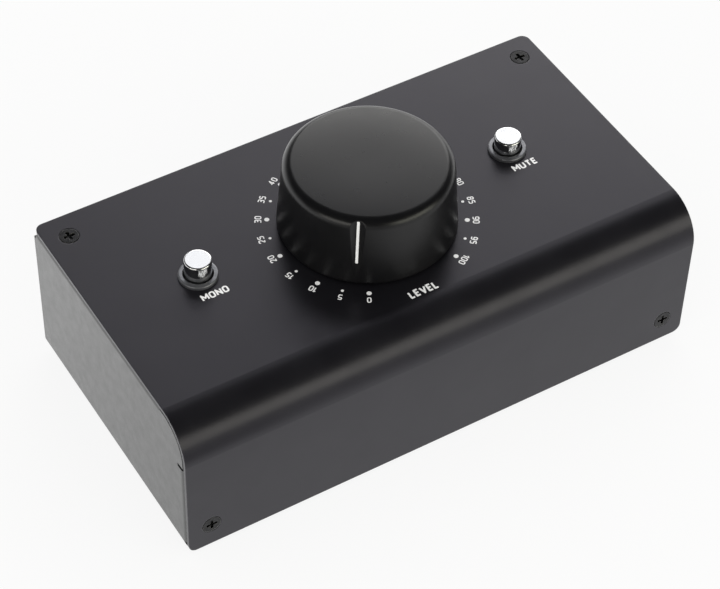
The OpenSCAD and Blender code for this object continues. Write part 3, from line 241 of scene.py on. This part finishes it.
def add_mesh(name, points, faces, material, body, sharp=35.0):
    """A mesh from points in millimetres, smooth but for edges that turn by more than sharp degrees."""
    mesh = bpy.data.meshes.new(name)
    mesh.from_pydata([tuple(c * MM for c in p) for p in points], [], faces)
    mesh.polygons.foreach_set("use_smooth", [True] * len(mesh.polygons))
    mesh.set_sharp_from_angle(angle=math.radians(sharp))
    mesh.validate()
    piece = bpy.data.objects.new(name, mesh)
    bpy.context.scene.collection.objects.link(piece)
    mesh.materials.append(materials[material])
    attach(piece, body)
    return piece


# ---------------------------------------------------------------- the knob

KNOB_LOW = low("knob_shell")[2]
KNOB_TOP = high("knob_shell")[2]
KNOB_R = high("knob_shell")[0]
KNOB_TOP_R = 20.96          # where the side would meet the top, as in the part's source
KNOB_EDGE_R = 2.8           # rounded edge of the top
KNOB_DOME = 0.62            # how much lower the top is at its edge
KNOB_CROWN = 2.8            # how late the top drops away, as a power of the radius
KNOB_RIM_R = 0.35           # rounded edge of the bottom
CAVITY_R = 18.96
CAVITY_TOP = 62.0
BOSS_R = 6.8
BORE_R = 5.0
POINTER_ANGLE = math.radians(-141.8)
SCOOP_R = 2.5
SCOOP_LOW = (PANEL_Z + 7.1, 0.22)      # height and depth of the scoop at the line's lower end
SCOOP_HIGH = (PANEL_Z + 19.6, 1.0)     # the same at its upper end
SCOOP_SOFT = 0.10           # how far the scoop's edge is softened
SCOOP_SPAN = 8              # degrees round the scoop that are cut finely
FINE_STEP, COARSE_STEP = 0.25, 1.5
KNOB_SHARP = 50             # a turn between faces that reads as a sharp edge, in degrees


def side_radius(z):
    return KNOB_R + (KNOB_TOP_R - KNOB_R) * (z - KNOB_LOW) / (KNOB_TOP - KNOB_LOW)


def knob_profile():
    """Half of the knob's section, from the middle of its top round to the middle of its cavity."""
    draft = math.atan((KNOB_R - KNOB_TOP_R) / (KNOB_TOP - KNOB_LOW))
    shoulder = side_radius(KNOB_TOP - KNOB_EDGE_R) - KNOB_EDGE_R
    crown = math.pi / 2 - KNOB_CROWN * KNOB_DOME / shoulder
    centre_z = KNOB_TOP - KNOB_DOME - KNOB_EDGE_R * math.sin(crown)
    centre_r = side_radius(centre_z + KNOB_EDGE_R * math.sin(draft)) - KNOB_EDGE_R * math.cos(draft)
    crown_r = centre_r + KNOB_EDGE_R * math.cos(crown)
    outer = []
    for i in range(33):
        r = crown_r * math.sin(i / 32 * math.pi / 2)
        outer.append((r, KNOB_TOP - KNOB_DOME * (r / crown_r) ** KNOB_CROWN))
    for i in range(1, 27):
        a = crown + (draft - crown) * i / 26
        outer.append((centre_r + KNOB_EDGE_R * math.cos(a), centre_z + KNOB_EDGE_R * math.sin(a)))
    rim_z = KNOB_LOW + KNOB_RIM_R
    start_z = outer[-1][1]
    for i in range(1, 61):
        z = start_z + (rim_z - start_z) * i / 60
        outer.append((side_radius(z), z))
    rim_r = side_radius(rim_z) - KNOB_RIM_R
    for i in range(1, 7):
        a = -math.pi / 2 * i / 6
        outer.append((rim_r + KNOB_RIM_R * math.cos(a), rim_z + KNOB_RIM_R * math.sin(a)))
    boss_low = low("knob_hub")[2]
    bore_top = high("knob_hub")[2]
    inner = [(CAVITY_R + 0.3, KNOB_LOW), (CAVITY_R, KNOB_LOW + 0.3), (CAVITY_R, CAVITY_TOP - 1),
             (CAVITY_R - 0.3, CAVITY_TOP - 0.3), (CAVITY_R - 1, CAVITY_TOP), (BOSS_R, CAVITY_TOP),
             (BOSS_R, boss_low), (BORE_R, boss_low), (BORE_R, bore_top), (0.0, bore_top)]
    return outer, inner


def scooped(x, y, z):
    """Pulls a point of the knob's outside in to the scoop round the pointer line, with a soft edge."""
    along = x * math.sin(POINTER_ANGLE) + y * math.cos(POINTER_ANGLE)
    across = x * math.cos(POINTER_ANGLE) - y * math.sin(POINTER_ANGLE)
    if along <= 0 or abs(across) >= SCOOP_R:
        return x, y
    slope = (SCOOP_HIGH[1] - SCOOP_LOW[1]) / (SCOOP_HIGH[0] - SCOOP_LOW[0])
    depth = SCOOP_LOW[1] + slope * (z - SCOOP_LOW[0])
    floor = side_radius(z) - depth + SCOOP_R - math.sqrt(SCOOP_R ** 2 - across ** 2)
    over = along - floor
    if over <= -SCOOP_SOFT:
        return x, y
    if over < SCOOP_SOFT:
        moved = along - (over + SCOOP_SOFT) ** 2 / (4 * SCOOP_SOFT)
    else:
        moved = floor
    return (moved * math.sin(POINTER_ANGLE) + across * math.cos(POINTER_ANGLE),
            moved * math.cos(POINTER_ANGLE) - across * math.sin(POINTER_ANGLE))


def knob():
    outer, inner = knob_profile()
    turns = []
    step = 0.0
    while step < 360 - 1e-6:
        turns.append(math.radians(step - 180))
        near = min(abs(step), abs(360 - step))
        step += FINE_STEP if near < SCOOP_SPAN else COARSE_STEP
    turns = [POINTER_ANGLE + a + math.pi for a in turns]
    points = [(0.0, 0.0, outer[0][1])]
    faces = []
    rings = outer[1:] + inner[:-1]
    count = len(turns)
    for k, (r, z) in enumerate(rings):
        for a in turns:
            x, y = r * math.sin(a), r * math.cos(a)
            if k < len(outer) - 1:
                x, y = scooped(x, y, z)
            points.append((x, y, z))
    points.append((0.0, 0.0, inner[-1][1]))
    last = len(points) - 1
    for i in range(count):
        j = (i + 1) % count
        faces.append((0, 1 + j, 1 + i))
        for k in range(len(rings) - 1):
            a, b = 1 + k * count, 1 + (k + 1) * count
            faces.append((a + i, a + j, b + j, b + i))
        b = 1 + (len(rings) - 1) * count
        faces.append((b + i, b + j, last))
    points = [(x + POT_X, y + POT_Y, z) for x, y, z in points]
    piece = add_mesh("knob_skin", points, faces, "knob_black", "knob", KNOB_SHARP)
    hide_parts("knob_shell")
    return piece


knob()


# ------------------------------------------------------- print on the panel

INK_T = 0.02
INK_STEP = 0.0006


class Ink:
    """Printed strokes and dots that lie on the panel, gathered into one mesh."""

    def __init__(self):
        self.points, self.faces, self.count = [], [], 0

    def patch(self, outline):
        """A thin solid with that outline. Each lies a hair higher than the one before, so that none share a face."""
        top = PANEL_Z + INK_T + INK_STEP * (self.count % 20)
        self.count += 1
        first, n = len(self.points), len(outline)
        self.points += [(x, y, top) for x, y in outline] + [(x, y, PANEL_Z - 0.01) for x, y in outline]
        self.faces.append(tuple(range(first, first + n)))
        for i in range(n):
            j = (i + 1) % n
            self.faces.append((first + i, first + n + i, first + n + j, first + j))

    def disc(self, x, y, r, sides=20):
        self.patch([(x + r * math.cos(2 * math.pi * i / sides), y + r * math.sin(2 * math.pi * i / sides))
                    for i in range(sides)])

    def stroke(self, path, width):
        """A ribbon along the path, with a disc where the path turns sharply."""
        half = width / 2
        runs, run = [], [path[0]]
        for i in range(1, len(path)):
            run.append(path[i])
            if i < len(path) - 1:
                a = Vector(path[i]) - Vector(path[i - 1])
                b = Vector(path[i + 1]) - Vector(path[i])
                if abs(a.angle_signed(b)) > math.radians(35):
                    self.disc(path[i][0], path[i][1], half, 12)
                    runs.append(run)
                    run = [path[i]]
        runs.append(run)
        for run in runs:
            left, right = [], []
            for i, p in enumerate(run):
                before = Vector(run[max(i - 1, 0)])
                after = Vector(run[min(i + 1, len(run) - 1)])
                aim = (after - before).normalized()
                side = Vector((-aim.y, aim.x)) * half
                left.append((p[0] + side.x, p[1] + side.y))
                right.append((p[0] - side.x, p[1] - side.y))
            self.patch(list(reversed(left)) + right)

    def piece(self, name):
        return add_mesh(name, self.points, self.faces, "pointer_white", "case")


def rounded(path, r, closed=False):
    """The path with each corner turned into a short arc of radius r."""
    if r <= 0:
        return [tuple(p) for p in path]
    n = len(path)
    out = []
    for i in range(n):
        p = Vector(path[i])
        if not closed and i in (0, n - 1):
            out.append(tuple(p))
            continue
        a, b = Vector(path[i - 1]), Vector(path[(i + 1) % n])
        reach = min(r, 0.49 * (a - p).length, 0.49 * (b - p).length)
        start, end = p + (a - p).normalized() * reach, p + (b - p).normalized() * reach
        for k in range(6):
            t = k / 5
            out.append(tuple(start * (1 - t) ** 2 + p * (2 * t * (1 - t)) + end * t ** 2))
    if closed:
        out.append(out[0])
    return out


# Strokes of each sign on a body 1 high: its width, then paths with the radius of their corners and whether closed
W = 0.56
GLYPHS = {
    "0": (W, [([(0, 0), (W, 0), (W, 1), (0, 1)], 0.26, True)]),
    "1": (0.30, [([(0.0, 0.76), (0.30, 1), (0.30, 0)], 0, False)]),
    "2": (W, [([(0, 0.74), (0, 1), (W, 1), (W, 0.56), (0, 0), (W, 0)], 0.22, False)]),
    "3": (W, [([(0, 1), (W, 1), (W, 0.54), (0.14, 0.54)], 0.2, False),
              ([(0.14, 0.52), (W, 0.52), (W, 0), (0, 0)], 0.2, False)]),
    "4": (0.62, [([(0.40, 0), (0.40, 1), (0, 0.26), (0.62, 0.26)], 0, False)]),
    "5": (W, [([(W, 1), (0.03, 1), (0, 0.57), (W, 0.60), (W, 0), (0, 0)], 0.2, False)]),
    "6": (W, [([(0, 0), (W, 0), (W, 0.58), (0, 0.58)], 0.2, True),
              ([(0, 0.3), (0, 1), (W, 1)], 0.26, False)]),
    "7": (W, [([(0, 1), (W, 1), (0.16, 0)], 0, False)]),
    "8": (W, [([(0, 0), (W, 0), (W, 0.53), (0, 0.53)], 0.2, True),
              ([(0.02, 0.53), (W - 0.02, 0.53), (W - 0.02, 1), (0.02, 1)], 0.2, True)]),
    "9": (W, [([(0, 0.42), (W, 0.42), (W, 1), (0, 1)], 0.2, True),
              ([(W, 0.7), (W, 0), (0, 0)], 0.26, False)]),
    "E": (0.48, [([(0.48, 1), (0, 1), (0, 0), (0.48, 0)], 0, False), ([(0, 0.52), (0.43, 0.52)], 0, False)]),
    "L": (0.46, [([(0, 1), (0, 0), (0.46, 0)], 0, False)]),
    "M": (0.76, [([(0, 0), (0, 1), (0.38, 0.36), (0.76, 1), (0.76, 0)], 0, False)]),
    "N": (0.60, [([(0, 0), (0, 1), (0.60, 0), (0.60, 1)], 0, False)]),
    "O": (0.58, [([(0, 0), (0.58, 0), (0.58, 1), (0, 1)], 0.3, True)]),
    "T": (0.60, [([(0, 1), (0.60, 1)], 0, False), ([(0.30, 1), (0.30, 0)], 0, False)]),
    "U": (0.58, [([(0, 1), (0, 0), (0.58, 0), (0.58, 1)], 0.3, False)]),
    "V": (0.66, [([(0, 1), (0.33, 0), (0.66, 1)], 0, False)]),
}


def write(ink, words, middle, up, height, width=None, weight=0.17, gap=0.34):
    """Writes words centred on middle, up being the direction of the letters' tops. width fixes the whole length."""
    body = height * (1 - weight)
    across = Vector((up[1], -up[0]))
    total = sum(GLYPHS[c][0] for c in words) + gap * (len(words) - 1) + weight / (1 - weight)
    stretch = 1.0 if width is None else width / (total * body)
    cursor = -total / 2 + weight / (1 - weight) / 2
    for c in words:
        wide, strokes = GLYPHS[c]
        for path, r, closed in strokes:
            flat = [((cursor + x) * body * stretch, (y - 0.5) * body) for x, y in rounded(path, r, closed)]
            ink.stroke([(middle[0] + across.x * x + up[0] * y, middle[1] + across.y * x + up[1] * y)
                        for x, y in flat], weight * height)
        cursor += wide + gap


DIAL_DOT_R = 24.8           # circle of the dots
DIAL_TEXT_R = 27.0          # circle of the numerals
NUMERAL_H = 1.75
BIG_DOT_R, SMALL_DOT_R = 0.63, 0.38
DIAL_START, DIAL_STEP = -150, 3        # degrees at mark 0, and for each unit
LABEL_WEIGHT = 0.21

dots, numerals = Ink(), Ink()
for mark in range(0, 101, 5):
    turn = math.radians(DIAL_START + DIAL_STEP * mark)
    out = (math.sin(turn), math.cos(turn))
    dot_r = BIG_DOT_R if mark % 10 == 0 else SMALL_DOT_R
    dots.disc(POT_X + DIAL_DOT_R * out[0], POT_Y + DIAL_DOT_R * out[1], dot_r, 28)
    write(numerals, str(mark), (POT_X + DIAL_TEXT_R * out[0], POT_Y + DIAL_TEXT_R * out[1]), out, NUMERAL_H)
dots.piece("dial_dots")
numerals.piece("dial_numerals")

# Each label's words and the box that they fill, as left, front, right and rear
for name, words, box in (
    ("label_mono", "MONO", (-48.2, -4.7, -40.8, -2.55)),
    ("label_mute", "MUTE", (41.2, -4.7, 48.3, -2.5)),
    ("label_level", "LEVEL", (-4.5, -28.8, 3.5, -26.4)),
):
    ink = Ink()
    write(ink, words, ((box[0] + box[2]) / 2, (box[1] + box[3]) / 2), (0, 1), box[3] - box[1], box[2] - box[0],
          weight=LABEL_WEIGHT)
    ink.piece(name)


# ------------------------------------------------------------- surroundings

def floor():
    """A wide pale sheet that keeps the object's shadow."""
    size, cells = 4000.0, 8
    points = [(size * (i / cells - 0.5), size * (j / cells - 0.5), -0.02) for j in range(cells + 1)
              for i in range(cells + 1)]
    faces = [(j * (cells + 1) + i, j * (cells + 1) + i + 1, (j + 1) * (cells + 1) + i + 1, (j + 1) * (cells + 1) + i)
             for j in range(cells) for i in range(cells)]
    mesh = bpy.data.meshes.new("floor")
    mesh.from_pydata([tuple(c * MM for c in p) for p in points], [], faces)
    sheet = bpy.data.objects.new("floor", mesh)
    bpy.context.scene.collection.objects.link(sheet)
    material, n = new_tree("floor_pale")
    path = n.add("ShaderNodeLightPath")
    seen = n.math("MAXIMUM", path.outputs["Is Camera Ray"], path.outputs["Is Glossy Ray"])
    seen = n.math("MAXIMUM", seen, path.outputs["Is Transmission Ray"])
    place = n.add("ShaderNodeTexCoord").outputs["Object"]
    tone = n.mix(n.noise(place, 220, 2.0), (0.84, 0.84, 0.84), (0.86, 0.86, 0.86))
    matt = n.add("ShaderNodeBsdfDiffuse", {"Color": tone, "Roughness": 0.5}).outputs[0]
    where = n.add("ShaderNodeSeparateXYZ", {0: place})
    ahead = where.outputs["Y"]
    # Glossy rays see the floor's glow brighter behind the object and dimmer ahead of it and to its left: painted
    # light and shade in what the object reflects.
    far = n.math("ADD", n.ramp(ahead, -0.060, -0.150, 0.0, 0.42), n.ramp(ahead, -0.040, 0.060, 0.0, -0.35))
    aside = n.math("MULTIPLY", n.ramp(where.outputs["X"], 0.0, -0.060, 0.0, 0.40), n.ramp(ahead, -0.075, -0.095))
    far = n.math("ADD", far, aside)
    glow = n.math("SUBTRACT", 0.99, n.math("MULTIPLY", path.outputs["Is Glossy Ray"], far))
    white = n.add("ShaderNodeEmission", {"Color": (1.0, 1.0, 1.0, 1.0), "Strength": glow}).outputs[0]
    mixed = n.add("ShaderNodeMixShader", {0: n.math("MULTIPLY", seen, 0.88), 1: matt, 2: white}).outputs[0]
    n.link(mixed, n.add("ShaderNodeOutputMaterial").inputs[0])
    mesh.materials.append(material)


floor()


def world():
    """White behind the object, paler towards the horizon and dark overhead in what shines, and an even soft light."""
    sky = bpy.data.worlds.new("studio")
    bpy.context.scene.world = sky
    sky.use_nodes = True
    n = Nodes(sky.node_tree)
    path = n.add("ShaderNodeLightPath")
    direction = n.add("ShaderNodeTexCoord").outputs["Generated"]
    height = n.add("ShaderNodeSeparateXYZ", {0: direction}).outputs["Z"]
    behind = n.ramp(n.add("ShaderNodeSeparateXYZ", {0: direction}).outputs["Y"], 0.0, 0.4)
    shine = n.math("ADD", n.ramp(height, 0.0, 0.22, 0.50, 0.015),
                   n.math("MULTIPLY", behind, n.ramp(height, 0.10, 0.42, 0.70, 0.0)))
    even = n.add("ShaderNodeBackground", {"Color": (1, 1, 1, 1), "Strength": 0.78}).outputs[0]
    glossy = n.add("ShaderNodeBackground", {"Color": (1, 1, 1, 1), "Strength": shine}).outputs[0]
    white = n.add("ShaderNodeBackground", {"Color": (0.95, 0.95, 0.95, 1), "Strength": 1.0}).outputs[0]
    first = n.add("ShaderNodeMixShader", {0: path.outputs["Is Glossy Ray"], 1: even, 2: glossy}).outputs[0]
    seen = n.math("MAXIMUM", path.outputs["Is Camera Ray"], path.outputs["Is Transmission Ray"])
    second = n.add("ShaderNodeMixShader", {0: seen, 1: first, 2: white}).outputs[0]
    n.link(second, n.add("ShaderNodeOutputWorld").inputs[0])


world()


def softbox(name, azimuth, elevation, distance, wide, tall, radiance, colour=(1, 1, 1)):
    """An area light that faces the object. Azimuth is clockwise from the rear, and wide and tall are the angles
    that it fills, all in degrees. radiance is how bright its face is where it is seen."""
    a, e = math.radians(azimuth), math.radians(elevation)
    aim = Vector((math.sin(a) * math.cos(e), math.cos(a) * math.cos(e), math.sin(e)))
    data = bpy.data.lights.new(name, "AREA")
    data.shape = "RECTANGLE"
    data.size = 2 * distance * math.tan(math.radians(wide / 2))
    data.size_y = 2 * distance * math.tan(math.radians(tall / 2))
    data.color = colour
    data.energy = radiance * math.pi * data.size * data.size_y
    lamp = bpy.data.objects.new(name, data)
    bpy.context.scene.collection.objects.link(lamp)
    lamp.location = Vector((0, 0, 0.04)) + aim * distance
    lamp.rotation_euler = (-aim).to_track_quat("-Z", "Y").to_euler()


softbox("rear_box_low", 39, 26.5, 1.4, 42, 25, 2.85, (1.0, 0.99, 0.97))
softbox("rear_box_high", 39, 48.5, 1.4, 46, 20, 1.01, (0.98, 0.98, 1.0))
softbox("front_box", 155, 20, 1.4, 50, 26, 2.15, (1.0, 0.99, 0.84))
softbox("left_box", 245, 17, 1.4, 44, 20, 2.1, (1.0, 0.97, 0.90))


def camera():
    """The photograph's viewpoint."""
    data = bpy.data.cameras.new("camera")
    data.sensor_width = 36.0
    data.lens = 123.025
    data.clip_start, data.clip_end = 0.01, 30.0
    ahead = Vector((0.36291205, 0.57518485, -0.73311475))
    right = Vector((0.85705778, -0.51481814, 0.02035289))
    down = Vector((-0.3657141, -0.63570801, -0.67980035))
    turn = Matrix((right, -down, -ahead)).transposed().to_4x4()
    shot = bpy.data.objects.new("camera", data)
    bpy.context.scene.collection.objects.link(shot)
    shot.matrix_world = Matrix.Translation((-0.229108, -0.361439, 0.477615)) @ turn
    bpy.context.scene.camera = shot


camera()
bpy.context.scene.view_settings.view_transform = "Standard"
